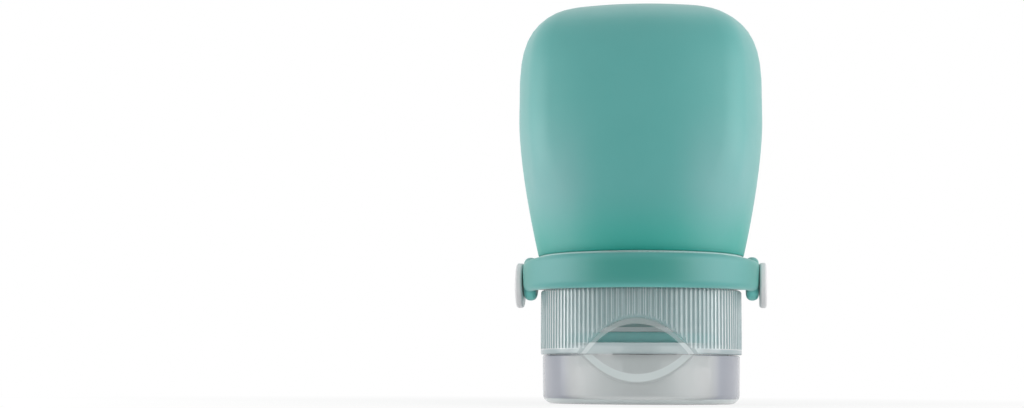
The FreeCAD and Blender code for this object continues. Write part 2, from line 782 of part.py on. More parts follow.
PIECES = [
    make_squeeze_body(),
    make_neck_collar(),
    make_neck_insert(),
    make_carry_strap(),
    make_strap_button("strap_button_left", -1),
    make_strap_button("strap_button_right", 1),
    make_screw_cap(),
    make_cap_gasket(),
    make_no_drip_valve(),
    make_valve_retainer(),
    make_flip_lid(),
    make_lid_hinge(),
]
doc.recompute()
check(PIECES)
os.makedirs("parts", exist_ok=True)
for piece in PIECES:
    piece.Shape.exportStep(f"parts/{piece.Label}.step")
    box = piece.Shape.BoundBox
    print(f"{piece.Label}: {piece.Shape.Volume:.0f} mm3, z {box.ZMin:.2f} to {box.ZMax:.2f}")
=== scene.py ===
import math
from collections import namedtuple

import bmesh
import bpy
from mathutils import Matrix, Vector


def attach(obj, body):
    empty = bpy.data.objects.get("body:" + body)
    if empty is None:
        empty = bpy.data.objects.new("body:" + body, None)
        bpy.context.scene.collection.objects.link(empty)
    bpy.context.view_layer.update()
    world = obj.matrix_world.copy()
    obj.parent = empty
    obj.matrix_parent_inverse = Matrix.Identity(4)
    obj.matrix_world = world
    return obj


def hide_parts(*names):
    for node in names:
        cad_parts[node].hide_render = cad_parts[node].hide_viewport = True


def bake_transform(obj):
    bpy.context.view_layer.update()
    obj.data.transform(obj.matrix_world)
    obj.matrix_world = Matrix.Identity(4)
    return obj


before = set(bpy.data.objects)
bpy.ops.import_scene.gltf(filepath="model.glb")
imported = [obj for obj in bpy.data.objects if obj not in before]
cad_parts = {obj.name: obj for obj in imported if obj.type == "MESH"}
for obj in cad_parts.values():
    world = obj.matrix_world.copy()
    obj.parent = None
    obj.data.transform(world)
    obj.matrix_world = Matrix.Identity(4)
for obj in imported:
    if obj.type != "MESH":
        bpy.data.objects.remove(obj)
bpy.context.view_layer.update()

MM = 0.001
ORIGIN = Vector((0, 0, 0))
QUARTER = math.pi / 2
SMOOTH_ANGLE = math.radians(38)
SAME_PLACE = 0.001 * MM
WELD_GAP = 0.002 * MM

# Silicone body: a round shoulder on the collar's rim swells to a soft square, under a flat crown.
BODY_HALF = 25.5 * MM
SHOULDER = 21.4 * MM
RIM_TOP = 30.5 * MM
WIDEST = 58.5 * MM
BODY_TOP = 82.0 * MM
# The flank draws in by this power of the way down, and the crown is a superellipse of this one.
FLANK_POWER = 1.55
CROWN_POWER = 4.3
# How much flatter a side is than a circle, and the share of the flank over which it becomes so.
SIDE_FLATNESS = 0.77
SQUARING = 0.8
FLANK_RINGS = 15
# Shares of a quarter turn at which the crown has a ring.
CROWN_SHARES = (
    0.08, 0.16, 0.24, 0.32, 0.4, 0.47, 0.54, 0.61, 0.67,
    0.73, 0.78, 0.83, 0.87, 0.91, 0.94, 0.97, 0.985,
)
SIDE_STEPS = 16
CORNER_STEPS = 8
SHOULDER_ROUND = 0.3 * MM
SHOULDER_STEPS = 4
UPPER_NECK = 17.45 * MM
LOWER_NECK = 15.55 * MM
NECK_STEP = 25.25 * MM
NECK_FOOT = 15.4 * MM
BODY_WALL = 1.9 * MM

# Carry strap: a half ring in front, with a round eye at each end.
STRAP_INNER = 21.8 * MM
STRAP_THICK = 2.7 * MM
STRAP_LOW = 23.3 * MM
STRAP_HEIGHT = 6.95 * MM
STRAP_ROUND = 1.2 * MM
STRAP_ROUND_STEPS = 6
STRAP_STEPS = 120
# How far the strap's face bulges, and how much of its height is left at its ends.
STRAP_CROWN = 0.22 * MM
STRAP_END_SHARE = 0.9
FACE_CUTS = 9
EYE_RADIUS = 4.55 * MM
EYE_HOLE = 2.08 * MM
EYE_STEPS = 72
PIVOT_HEIGHT = 25.95 * MM
STRAP_TILT = math.radians(0.65)
SKIN_VOXEL = 0.22 * MM
SKIN_SOFTNESS = 0.5
SKIN_SMOOTHING = 10

# Gasket, valve and film hinge of the cap.
GASKET_OUTER = 16.2 * MM
GASKET_INNER = 13.0 * MM
GASKET_LOW = 12.3 * MM
GASKET_TOP = 14.5 * MM
GASKET_ROUND = 0.5 * MM
GASKET_ROUND_STEPS = 4
VALVE_FLANGE = 7.0 * MM
VALVE_HEAD = 3.9 * MM
VALVE_WALL = 0.8 * MM
VALVE_TOP = 13.5 * MM
VALVE_SEAT = 12.3 * MM
VALVE_LOW = 9.8 * MM
VALVE_DOME = 2.4 * MM
SLIT_LENGTH = 4.4 * MM
SLIT_WIDTH = 0.15 * MM
SLIT_DEPTH = 3 * VALVE_WALL
TURN_STEPS = 96
DOME_STEPS = 8
HINGE_WIDTH = 14.0 * MM
HINGE_BACK = 21.3 * MM
HINGE_HEIGHT = 10.0 * MM
FILM_RADIUS = 0.9 * MM
FILM_THICK = 0.4 * MM
FILM_GROOVE = 0.12 * MM
FILM_STEPS = 24


def clear_selection():
    """Nothing stays selected, so that the next tool acts on new work alone."""
    bpy.ops.object.select_all(action="DESELECT")


def choose(piece):
    """One piece is selected and active, and no other."""
    clear_selection()
    piece.select_set(True)
    bpy.context.view_layer.objects.active = piece


def named(name):
    """The object just added, under its own name."""
    piece = bpy.context.object
    piece.name = name
    piece.data.name = name
    return piece


def settle(piece):
    """The piece's place, turn and scale go into its mesh."""
    choose(piece)
    bpy.ops.object.transform_apply(location=True, rotation=True, scale=True)


def edit(piece, kind="VERT"):
    """Edit mode on one piece, with everything in it selected."""
    choose(piece)
    bpy.ops.object.mode_set(mode="EDIT")
    bpy.ops.mesh.select_mode(type=kind)
    bpy.ops.mesh.select_all(action="SELECT")


def leave_edit():
    bpy.ops.object.mode_set(mode="OBJECT")


def pick_edges(piece, wanted):
    """Select the edges whose two ends both pass a test on their place."""
    bpy.ops.mesh.select_mode(type="EDGE")
    bpy.ops.mesh.select_all(action="DESELECT")
    mesh = bmesh.from_edit_mesh(piece.data)
    for edge in mesh.edges:
        if all(wanted(corner.co) for corner in edge.verts):
            edge.select_set(True)
    mesh.select_flush_mode()
    bmesh.update_edit_mesh(piece.data)


def pick_corners(piece, wanted):
    """Select the corners that pass a test on their place."""
    bpy.ops.mesh.select_mode(type="VERT")
    bpy.ops.mesh.select_all(action="DESELECT")
    mesh = bmesh.from_edit_mesh(piece.data)
    for corner in mesh.verts:
        corner.select_set(wanted(corner.co))
    mesh.select_flush_mode()
    bmesh.update_edit_mesh(piece.data)


def near(first, second):
    """True if two lengths are the same to a thousandth of a millimetre."""
    return abs(first - second) < SAME_PLACE


def from_axis(place):
    """How far a place is from the bottle's upright axis."""
    return math.hypot(place.x, place.y)


def modify(piece, kind, **settings):
    """Add a modifier with these settings and apply it."""
    choose(piece)
    bpy.ops.object.modifier_add(type=kind)
    modifier = piece.modifiers[-1]
    for key, setting in settings.items():
        setattr(modifier, key, setting)
    bpy.ops.object.modifier_apply(modifier=modifier.name)


def carve(piece, tool, operation):
    """Join a second form to the piece or cut it out, and take the second form away."""
    modify(piece, "BOOLEAN", object=tool, operation=operation, solver="EXACT")
    bpy.data.objects.remove(tool)


def close_up(piece):
    """Merge what meets, turn every face outwards and shade it smooth."""
    edit(piece)
    bpy.ops.mesh.remove_doubles(threshold=WELD_GAP)
    bpy.ops.mesh.select_all(action="SELECT")
    bpy.ops.mesh.normals_make_consistent(inside=False)
    leave_edit()
    bpy.ops.object.shade_smooth_by_angle(angle=SMOOTH_ANGLE)


def step_ring(radius, height, last_radius, last_height):
    """Extrude the selected ring to a new radius and height."""
    rise = (0, 0, height - last_height)
    bpy.ops.mesh.extrude_edges_move(TRANSFORM_OT_translate={"value": rise})
    if not near(radius, last_radius):
        scale = radius / last_radius
        bpy.ops.transform.resize(value=(scale, scale, 1), center_override=(0, 0, height))


def turned_form(name, rings):
    """A solid form turned about the upright axis, through rings of radius and height."""
    clear_selection()
    first_radius, first_height = rings[0]
    bpy.ops.mesh.primitive_circle_add(vertices=TURN_STEPS, radius=first_radius, location=(0, 0, first_height))
    piece = named(name)
    settle(piece)
    edit(piece, "EDGE")
    for (radius, height), (next_radius, next_height) in zip(rings, rings[1:]):
        step_ring(next_radius, next_height, radius, height)
    bpy.ops.mesh.edge_face_add()
    pick_edges(piece, lambda place: near(place.z, first_height) and near(from_axis(place), first_radius))
    bpy.ops.mesh.edge_face_add()
    leave_edit()
    close_up(piece)
    return piece


def upright_bar(name, middle, width, height):
    """A rectangle that stands in the XZ plane, in edit mode and ready to be rounded or spun."""
    clear_selection()
    bpy.ops.mesh.primitive_plane_add(size=1, location=middle, rotation=(QUARTER, 0, 0))
    piece = named(name)
    piece.scale = (width, height, 1)
    settle(piece)
    edit(piece)
    return piece


def soft_square(half_width, flatness, height):
    """One level ring of eight arcs, four sides and four corners, or a circle where flatness is 0."""
    half_arc = math.pi / 8
    side = half_width * (1 + flatness)
    corner = side - (side - half_width) / (math.cos(half_arc) - math.sin(half_arc))
    reach = (side - corner) * math.sin(half_arc)
    side_centre = Vector((half_width - side, 0, height))
    corner_centre = Vector((reach, reach, height))
    start = side_centre + Vector((math.cos(half_arc), -math.sin(half_arc), 0)) * side
    bpy.ops.mesh.select_all(action="DESELECT")
    bpy.ops.mesh.primitive_plane_add(size=half_width, location=start)
    bpy.ops.mesh.merge(type="CENTER")
    for quarter in range(4):
        turn = Matrix.Rotation(quarter * QUARTER, 3, "Z")
        for centre, steps in ((side_centre, SIDE_STEPS), (corner_centre, CORNER_STEPS)):
            bpy.ops.mesh.spin(steps=steps, angle=2 * half_arc, center=turn @ centre, axis=(0, 0, -1))


def body_rings():
    """Half-width, flatness and height of the body's sections, from the shoulder to the crown."""
    rings = []
    for number in range(FLANK_RINGS):
        share = 1 - number / FLANK_RINGS
        width = BODY_HALF - (BODY_HALF - SHOULDER) * share**FLANK_POWER
        squared = min((1 - share) / SQUARING, 1)
        flatness = SIDE_FLATNESS * squared**2 * (3 - 2 * squared)
        rings.append((width, flatness, WIDEST - (WIDEST - RIM_TOP) * share))
    rings.append((BODY_HALF, SIDE_FLATNESS, WIDEST))
    for share in CROWN_SHARES:
        angle = share * QUARTER
        width = BODY_HALF * math.cos(angle) ** (2 / CROWN_POWER)
        rise = math.sin(angle) ** (2 / CROWN_POWER)
        rings.append((width, SIDE_FLATNESS, WIDEST + (BODY_TOP - WIDEST) * rise))
    return rings


def make_body():
    """The squeeze body: sections bridged into a skin, a stepped neck drawn down from it, then its wall."""
    rings = body_rings()
    clear_selection()
    bpy.ops.mesh.primitive_plane_add(size=MM, location=ORIGIN)
    piece = named("silicone_body")
    edit(piece)
    bpy.ops.mesh.delete(type="VERT")
    for half_width, flatness, height in rings:
        soft_square(half_width, flatness, height)
    bpy.ops.mesh.select_all(action="SELECT")
    bpy.ops.mesh.remove_doubles(threshold=WELD_GAP)
    heights = [height for _, _, height in rings]
    for low, high in zip(heights, heights[1:]):
        pick_edges(piece, lambda place: near(place.z, low) or near(place.z, high))
        bpy.ops.mesh.bridge_edge_loops()
    pick_edges(piece, lambda place: near(place.z, heights[-1]))
    bpy.ops.mesh.extrude_edges_move(TRANSFORM_OT_translate={"value": (0, 0, BODY_TOP - heights[-1])})
    bpy.ops.mesh.merge(type="CENTER")
    pick_edges(piece, lambda place: near(place.z, RIM_TOP))
    step_ring(UPPER_NECK, RIM_TOP, SHOULDER, RIM_TOP)
    step_ring(UPPER_NECK, NECK_STEP, UPPER_NECK, RIM_TOP)
    step_ring(LOWER_NECK, NECK_STEP, UPPER_NECK, NECK_STEP)
    step_ring(LOWER_NECK, NECK_FOOT, LOWER_NECK, NECK_STEP)
    pick_edges(piece, lambda place: near(place.z, RIM_TOP) and near(from_axis(place), SHOULDER))
    bpy.ops.mesh.bevel(offset=SHOULDER_ROUND, segments=SHOULDER_STEPS, affect="EDGES")
    leave_edit()
    close_up(piece)
    modify(piece, "SOLIDIFY", thickness=BODY_WALL, offset=-1, use_even_offset=True)
    bpy.ops.object.shade_smooth_by_angle(angle=SMOOTH_ANGLE)
    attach(piece, "bottle")
    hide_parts("squeeze_body")
    return piece


def cross_rod(name, middle, radius, length):
    """A round rod along the X axis."""
    clear_selection()
    bpy.ops.mesh.primitive_cylinder_add(
        vertices=EYE_STEPS, radius=radius, depth=length, location=middle, rotation=(0, QUARTER, 0)
    )
    return named(name)


def strap_eye(side):
    """One round end of the strap, with soft rims."""
    middle = side * (STRAP_INNER + STRAP_THICK / 2)
    piece = cross_rod("strap_eye", (middle, 0, PIVOT_HEIGHT), EYE_RADIUS, STRAP_THICK)
    settle(piece)
    edit(piece)
    for face in (middle - STRAP_THICK / 2, middle + STRAP_THICK / 2):
        pick_edges(piece, lambda place: near(place.x, face))
        bpy.ops.mesh.bevel(offset=STRAP_ROUND, segments=STRAP_ROUND_STEPS, affect="EDGES")
    leave_edit()
    return piece


def make_strap():
    """The carry strap: a rounded bar spun half round, its eyes joined on, and a soft skin over both."""
    middle = (STRAP_INNER + STRAP_THICK / 2, 0, STRAP_LOW + STRAP_HEIGHT / 2)
    piece = upright_bar("silicone_strap", middle, STRAP_THICK, STRAP_HEIGHT)
    bpy.ops.mesh.bevel(offset=STRAP_ROUND, segments=STRAP_ROUND_STEPS, affect="VERTICES")
    face = STRAP_INNER + STRAP_THICK
    pick_edges(piece, lambda place: near(place.x, face))
    bpy.ops.mesh.subdivide(number_cuts=FACE_CUTS)
    pick_corners(piece, lambda place: near(place.x, face) and near(place.z, middle[2]))
    bpy.ops.transform.translate(
        value=(STRAP_CROWN, 0, 0),
        use_proportional_edit=True,
        proportional_edit_falloff="SPHERE",
        proportional_size=STRAP_HEIGHT / 2,
    )
    bpy.ops.mesh.select_all(action="SELECT")
    bpy.ops.mesh.spin(steps=STRAP_STEPS, angle=math.pi, center=ORIGIN, axis=(0, 0, 1))
    pick_corners(piece, lambda place: near(place.y, 0))
    bpy.ops.transform.resize(
        value=(1, 1, STRAP_END_SHARE),
        center_override=(0, 0, STRAP_LOW),
        use_proportional_edit=True,
        proportional_edit_falloff="SMOOTH",
        proportional_size=STRAP_INNER,
    )
    leave_edit()
    close_up(piece)
    for side in (1, -1):
        carve(piece, strap_eye(side), "UNION")
    pivot = (0, 0, PIVOT_HEIGHT)
    reach = 2 * (STRAP_INNER + 2 * STRAP_THICK)
    carve(piece, cross_rod("eye_bore", pivot, EYE_HOLE, reach), "DIFFERENCE")
    modify(piece, "REMESH", mode="VOXEL", voxel_size=SKIN_VOXEL)
    modify(piece, "SMOOTH", factor=SKIN_SOFTNESS, iterations=SKIN_SMOOTHING)
    edit(piece)
    bpy.ops.transform.rotate(value=-STRAP_TILT, orient_axis="X", center_override=pivot)
    leave_edit()
    bpy.ops.object.shade_smooth()
    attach(piece, "strap")
    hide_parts("carry_strap")
    return piece


def make_gasket():
    """The flat sealing ring on the cap's deck."""
    middle = ((GASKET_INNER + GASKET_OUTER) / 2, 0, (GASKET_LOW + GASKET_TOP) / 2)
    piece = upright_bar("sealing_ring", middle, GASKET_OUTER - GASKET_INNER, GASKET_TOP - GASKET_LOW)
    bpy.ops.mesh.bevel(offset=GASKET_ROUND, segments=GASKET_ROUND_STEPS, affect="VERTICES")
    bpy.ops.mesh.delete(type="ONLY_FACE")
    bpy.ops.mesh.select_all(action="SELECT")
    bpy.ops.mesh.spin(steps=TURN_STEPS, angle=4 * QUARTER, center=ORIGIN, axis=(0, 0, 1))
    leave_edit()
    close_up(piece)
    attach(piece, "seal")
    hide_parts("cap_gasket")
    return piece


def dome(radius, rounding, low):
    """Rings up the rounded lower edge of a cup, from its flat bottom to its side."""
    rings = []
    for number in range(DOME_STEPS + 1):
        angle = QUARTER * number / DOME_STEPS
        rings.append((radius - rounding * (1 - math.sin(angle)), low + rounding * (1 - math.cos(angle))))
    return rings


def make_valve():
    """The slit valve: a thin cup with a flange, and a cross cut through its dome."""
    bore = VALVE_HEAD - VALVE_WALL
    rings = dome(bore, VALVE_DOME - VALVE_WALL, VALVE_LOW + VALVE_WALL)
    rings += [(bore, VALVE_TOP), (VALVE_FLANGE, VALVE_TOP)]
    rings += [(VALVE_FLANGE, VALVE_SEAT), (VALVE_HEAD, VALVE_SEAT)]
    rings += reversed(dome(VALVE_HEAD, VALVE_DOME, VALVE_LOW))
    piece = turned_form("slit_valve", rings)
    for width, depth in ((SLIT_LENGTH, SLIT_WIDTH), (SLIT_WIDTH, SLIT_LENGTH)):
        clear_selection()
        bpy.ops.mesh.primitive_cube_add(size=1, location=(0, 0, VALVE_LOW))
        cutter = named("slit_cutter")
        cutter.scale = (width, depth, SLIT_DEPTH)
        settle(cutter)
        carve(piece, cutter, "DIFFERENCE")
    bpy.ops.object.shade_smooth_by_angle(angle=SMOOTH_ANGLE)
    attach(piece, "cap")
    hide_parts("no_drip_valve")
    return piece


def make_film_hinge():
    """The bowed film between cap and lid, thinned along the line where it bends."""
    middle = (0, HINGE_BACK, HINGE_HEIGHT + FILM_RADIUS - FILM_THICK / 2)
    piece = upright_bar("film_hinge", middle, HINGE_WIDTH, FILM_THICK)
    centre = (0, HINGE_BACK, HINGE_HEIGHT)
    bpy.ops.mesh.spin(steps=FILM_STEPS, angle=math.pi, center=centre, axis=(1, 0, 0))
    pick_corners(piece, lambda place: near(place.y, HINGE_BACK + FILM_RADIUS))
    bpy.ops.transform.translate(value=(0, -FILM_GROOVE, 0))
    leave_edit()
    close_up(piece)
    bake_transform(piece)
    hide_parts("lid_hinge")
    return piece


# Octaves of noise in a fine, a plain and a smooth pattern.
FINE = 3.0
PLAIN = 2.0
SMOOTH = 1.0
# Levels of noise between which a cloud comes up.
CLOUD_LOW = 0.3
CLOUD_HIGH = 0.7
# Rays that show the white studio: straight ahead, through plastic and in a gloss.
SHOWING_RAYS = ("Is Camera Ray", "Is Transmission Ray", "Is Glossy Ray")


class Wire:
    """A socket in a recipe; a sum on it adds a Math node."""

    def __init__(self, recipe, socket):
        self.recipe = recipe
        self.socket = socket

    def sum(self, operation, first, second):
        return self.recipe.node("ShaderNodeMath", {"operation": operation}, {0: first, 1: second})

    def __add__(self, other):
        return self.sum("ADD", self, other)

    def __radd__(self, other):
        return self.sum("ADD", other, self)

    def __sub__(self, other):
        return self.sum("SUBTRACT", self, other)

    def __rsub__(self, other):
        return self.sum("SUBTRACT", other, self)

    def __mul__(self, other):
        return self.sum("MULTIPLY", self, other)

    def __rmul__(self, other):
        return self.sum("MULTIPLY", other, self)


class Recipe:
    """The nodes of a material or of the world, while they are put together."""

    def __init__(self, owner):
        owner.use_nodes = True
        self.owner = owner
        self.nodes = owner.node_tree.nodes
        self.links = owner.node_tree.links

    def join(self, socket, value):
        """A value or a link into a socket."""
        if isinstance(value, Wire):
            self.links.new(value.socket, socket)
        else:
            socket.default_value = value

    def node(self, kind, settings=None, inputs=None, output=0):
        """A node of any kind: its settings first, then its sockets' values or links."""
        made = self.nodes.new(kind)
        for key, setting in (settings or {}).items():
            setattr(made, key, setting)
        for key, value in (inputs or {}).items():
            self.join(made.inputs[key], value)
        return Wire(self, made.outputs[output])

    def set(self, **values):
        """Values or links for the material's own shader, with _ for the spaces in its sockets' names."""
        shader = self.nodes["Principled BSDF"]
        for key, value in values.items():
            self.join(shader.inputs[key.replace("_", " ")], value)

    def place(self):
        return self.node("ShaderNodeTexCoord", output="Object")

    def along(self, axis):
        """The place along one axis."""
        return self.node("ShaderNodeSeparateXYZ", {}, {0: self.place()}, axis)

    def noise(self, size, detail):
        """Noise between 0 and 1 whose patches are about a given size across."""
        inputs = {"Vector": self.place(), "Scale": 1 / size, "Detail": detail}
        return self.node("ShaderNodeTexNoise", {}, inputs)

    def between(self, value, low, high):
        """0 where a value is at low and 1 at high, with a smooth turn between them."""
        inputs = {"Value": value, "From Min": low, "From Max": high}
        return self.node("ShaderNodeMapRange", {"interpolation_type": "SMOOTHSTEP"}, inputs)

    def cloud(self, size):
        """Soft patches of 0 and 1, about a given size across."""
        return self.between(self.noise(size, FINE), CLOUD_LOW, CLOUD_HIGH)

    def uneven(self, least, spread, size):
        """A value that wanders up from the least one, in patches about a given size across."""
        return least + spread * self.noise(size, FINE)

    def facing(self):
        """0 on a face seen squarely, 1 on one seen edge on."""
        return self.node("ShaderNodeLayerWeight", {}, {"Blend": 0.5}, "Facing")

    def mix(self, factor, first, second):
        """A colour between two others."""
        return self.node("ShaderNodeMix", {"data_type": "RGBA"}, {0: factor, 6: first, 7: second}, 2)

    def bump(self, height, depth):
        """Relief of a given depth where height runs from 0 to 1."""
        return self.node("ShaderNodeBump", {}, {"Height": height, "Distance": depth})

    def shown(self):
        """1 or more on the rays that show the studio, 0 on those that only light it."""
        rays = [self.node("ShaderNodeLightPath", output=ray) for ray in SHOWING_RAYS]
        return rays[0] + rays[1] + rays[2]

    def show_either(self, share, first, second, output):
        """The surface is a share of the second shader over the first."""
        mixed = self.node("ShaderNodeMixShader", {}, {0: share, 1: first, 2: second})
        self.join(self.nodes[output].inputs["Surface"], mixed)


def new_finish(name):
    return Recipe(bpy.data.materials.new(name))


def rgba(red, green, blue):
    return (red, green, blue, 1.0)


# Silicone. The painted sheen on a corner comes up between two products of the distances from the middle
# planes, in square millimetres.
CORNER_FROM = 130.0
CORNER_TO = 320.0
CORNER_TOP = 62 * MM
CORNER_FULL = 40 * MM
# How much the foot tint gives way to the painted sheen on a corner.
CORNER_FOOT_EASING = 0.45
BODY_CLOUD = 14 * MM
CLOUD_SHARE = 0.5
TOOTH_SIZE = 0.16 * MM
TOOTH_DEPTH = 0.012 * MM
RIPPLE_SIZE = 5 * MM
RIPPLE_SHARE = 6.0
BLOOM_SHARE = 0.6

# Plastics.
PLASTIC_INDEX = 1.49
PLASTIC_CLOUD = 6 * MM
GLOSS_PATCH = 1.5 * MM
WAVE_SIZE = 2.5 * MM
WAVE_DEPTH = 0.002 * MM

# Milky plastic: heights and distances over which its tints and its veil come up.
SKIN_BLEND = 0.2 * MM
RIM_BLEND = 0.15 * MM
CORE_RADIUS = 8 * MM
VEIL_RADIUS = 14 * MM
PAD_BACK = -15.2 * MM
PAD_FRONT = -18 * MM
PAD_TOP = 12.4 * MM
PAD_FULL = 12.2 * MM
FOOT_TOP = 11.3 * MM
FOOT_FULL = 10.9 * MM
FOOT_LOW = 10 * MM
FOOT_END = 9.9 * MM
PAD_PALENESS = 0.55
FOOT_DULLNESS = 0.75
LEAST_VEIL = 0.06
EDGE_VEIL = 0.1

# Collar: its veil where the neck is thin, at its edges and in the rim.
COLLAR_CLOUD = 5 * MM
COLLAR_VEIL = 0.12
COLLAR_EDGE_VEIL = 0.45
COLLAR_RIM_VEIL = 0.6
COLLAR_GLANCE = (0.1, 0.6)
COLLAR_RIM_FROM = 26 * MM
COLLAR_RIM_TO = 28 * MM

SiliconeTints = namedtuple("SiliconeTints", "colour pale foot bloom")
MilkyTints = namedtuple("MilkyTints", "colour shade edge pale dim")
MilkyVeil = namedtuple("MilkyVeil", "core skin edge rim pad")
PaintedEdgeHighlight = namedtuple("PaintedEdgeHighlight", "middle inner outer")


def silicone_finish(name, tints, foot_from, foot_to, bloom, solid=1.0, painted_edge_highlight=None):
    """Matte silicone with a mould's fine tooth: cloudy, with a painted sheen standing in for the side lamps'
    reflection on its lower corners, and a foot tint that is painted shade on the body and a painted floor
    bounce on the strap.

    A painted edge highlight turns to the painted sheen's tint from an inner to an outer distance above and
    below its middle.
    """
    finish = new_finish(name)
    across = finish.along("X") * (1 / MM)
    back = finish.along("Y") * (1 / MM)
    height = finish.along("Z")
    corner = finish.between(across * back * across * back, CORNER_FROM**2, CORNER_TO**2)
    low = finish.between(height, CORNER_TOP, CORNER_FULL)
    foot = finish.between(height, foot_from, foot_to)
    tint = finish.mix(finish.cloud(BODY_CLOUD) * CLOUD_SHARE, tints.colour, tints.pale)
    tint = finish.mix(corner * low, tint, tints.bloom)
    # Painted highlight: away from the middle height the tint turns to the painted sheen, at the top and
    # bottom edges.
    if painted_edge_highlight:
        off = height - painted_edge_highlight.middle
        painted_highlight = finish.between(off * off, painted_edge_highlight.inner**2, painted_edge_highlight.outer**2)
        tint = finish.mix(painted_highlight, tint, tints.bloom)
    tooth = finish.noise(TOOTH_SIZE, PLAIN)
    ripple = finish.noise(RIPPLE_SIZE, SMOOTH)
    # The foot tint is painted: painted shade on the body's lower flank that faces down, and a paler painted
    # floor bounce on the strap's lower edge.
    finish.set(
        Base_Color=finish.mix(foot * (1 - CORNER_FOOT_EASING * corner), tint, tints.foot),
        Roughness=finish.uneven(least=0.47, spread=0.12, size=3 * MM),
        Normal=finish.bump(tooth + RIPPLE_SHARE * ripple, TOOTH_DEPTH),
        Subsurface_Weight=0.35,
        Subsurface_Radius=(0.6, 1.0, 0.95),
        Subsurface_Scale=1.6 * MM,
        Specular_IOR_Level=0.8,
        Coat_Weight=bloom * (BLOOM_SHARE * (1 - foot) + foot * corner),
        Coat_Roughness=0.48,
        Coat_IOR=1.45,
        Sheen_Weight=0.2,
        Sheen_Roughness=0.5,
        Alpha=solid,
    )
    return finish.owner


def plastic_finish(name, colour, shade, rough, rough_range, relief):
    """Moulded plastic that hides what is behind it: a faint cloud in its tint and uneven gloss."""
    finish = new_finish(name)
    finish.set(
        Base_Color=finish.mix(finish.cloud(PLASTIC_CLOUD), colour, shade),
        Roughness=finish.uneven(rough, rough_range, GLOSS_PATCH),
        Normal=finish.bump(finish.noise(WAVE_SIZE, PLAIN), relief),
        IOR=PLASTIC_INDEX,
    )
    return finish.owner


def milky_finish(name, tints, veil, skin, rim, glance, clarity, gloss, coat_index):
    """Milky plastic that is seen through: clear near the axis, veiled further out.

    The veil is thicker on the skin, which is the wall beyond a radius, at edges seen at a glance, in a rim
    between two radii and on the pad of the thumb recess. Rim and pad are paler, and the skin's foot is dimmed
    with painted shade. At a glance the tint turns to an edge tint of painted light and shade.
    """
    finish = new_finish(name)
    edge = finish.between(finish.facing(), *glance)
    level = finish.node("ShaderNodeVectorMath", {"operation": "MULTIPLY"}, {0: finish.place(), 1: (1, 1, 0)})
    away = finish.node("ShaderNodeVectorMath", {"operation": "LENGTH"}, {0: level}, "Value")
    height = finish.along("Z")
    on_skin = finish.between(away, skin - SKIN_BLEND, skin)
    veiled = finish.between(away, CORE_RADIUS, VEIL_RADIUS)
    past_inner = finish.between(away, rim[0] - RIM_BLEND, rim[0])
    past_outer = finish.between(away, rim[1], rim[1] + RIM_BLEND)
    in_rim = past_inner - past_outer
    in_front = finish.between(finish.along("Y"), PAD_BACK, PAD_FRONT)
    on_pad = in_front * finish.between(height, PAD_TOP, PAD_FULL)
    foot = on_skin * finish.between(height, FOOT_TOP, FOOT_FULL) * finish.between(height, FOOT_END, FOOT_LOW)
    # At a glance the tint turns to the edge tint: painted shade on the lid's sides, a painted highlight on
    # the cap's sides.
    tint = finish.mix(edge, finish.mix(finish.cloud(PLASTIC_CLOUD), tints.colour, tints.shade), tints.edge)
    tint = finish.mix(in_rim + PAD_PALENESS * on_pad * (1 - in_rim), tint, tints.pale)
    wall = veil.core + (veil.skin - veil.core) * on_skin + veil.pad * on_pad * (1 - on_skin)
    # The skin's foot is dimmed with painted shade, except on the pad.
    finish.set(
        Base_Color=finish.mix(foot * (1 - on_pad), tint, tints.dim),
        Roughness=finish.uneven(least=0.2, spread=0.08, size=GLOSS_PATCH),
        Normal=finish.bump(finish.noise(WAVE_SIZE, PLAIN), WAVE_DEPTH),
        Alpha=LEAST_VEIL + veiled * (wall + veil.edge * edge + veil.rim * in_rim) + EDGE_VEIL * edge,
        Transmission_Weight=clarity,
        Specular_IOR_Level=gloss,
        Coat_Weight=gloss * (1 - FOOT_DULLNESS * foot),
        Coat_Roughness=0.2,
        Coat_IOR=coat_index,
        IOR=PLASTIC_INDEX,
    )
    return finish.owner


def collar_finish(name, colour, shade, painted_rim_light):
    """The collar's plastic: nearly clear in the thin neck, milky in the thick rim, with a pale teal painted
    there as light passing in from the body.
    """
    finish = new_finish(name)
    edge = finish.between(finish.facing(), *COLLAR_GLANCE)
    rim = finish.between(finish.along("Z"), COLLAR_RIM_FROM, COLLAR_RIM_TO)
    # In the rim the colour turns to a painted teal light from the body.
    finish.set(
        Base_Color=finish.mix(rim, finish.mix(finish.cloud(COLLAR_CLOUD), colour, shade), painted_rim_light),
        Roughness=finish.uneven(least=0.2, spread=0.1, size=GLOSS_PATCH),
        Normal=finish.bump(finish.noise(WAVE_SIZE, PLAIN), WAVE_DEPTH),
        Alpha=COLLAR_VEIL + COLLAR_EDGE_VEIL * edge + COLLAR_RIM_VEIL * rim,
        IOR=PLASTIC_INDEX,
    )
    return finish.owner


def dress(node_name, material):
    """A new finish on a piece that keeps its machined shape."""
    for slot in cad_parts[node_name].material_slots:
        slot.material = material


def paint(piece, material):
    piece.data.materials.clear()
    piece.data.materials.append(material)


# Camera: in front and just above the floor, turned so that the bottle stands right of the middle.
PHOTO_WIDTH = 1024
FOCAL_PIXELS = 1786
SENSOR = 36.0
CAMERA_BACK = 375 * MM
CAMERA_HEIGHT = 5 * MM
CAMERA_SIDE = math.radians(2.4)
CAMERA_TURN = math.radians(4.14)
CAMERA_PITCH = math.radians(5.59)
CAMERA_ROLL = math.radians(0.3)
NEAREST_SEEN = 10 * MM

# Studio: an even soft light, and a floor whose shadow fades out between two distances.
STUDIO_WHITE = rgba(1, 1, 1)
AMBIENT_GREY = rgba(0.8, 0.8, 0.8)
AMBIENT = 0.66
FLOOR_PALE = rgba(0.86, 0.86, 0.86)
FLOOR_SIZE = 6.0
FLOOR_DROP = 0.05 * MM
FLOOR_GLOW = 0.8
SHADOW_NEAR = 40 * MM
SHADOW_FAR = 180 * MM


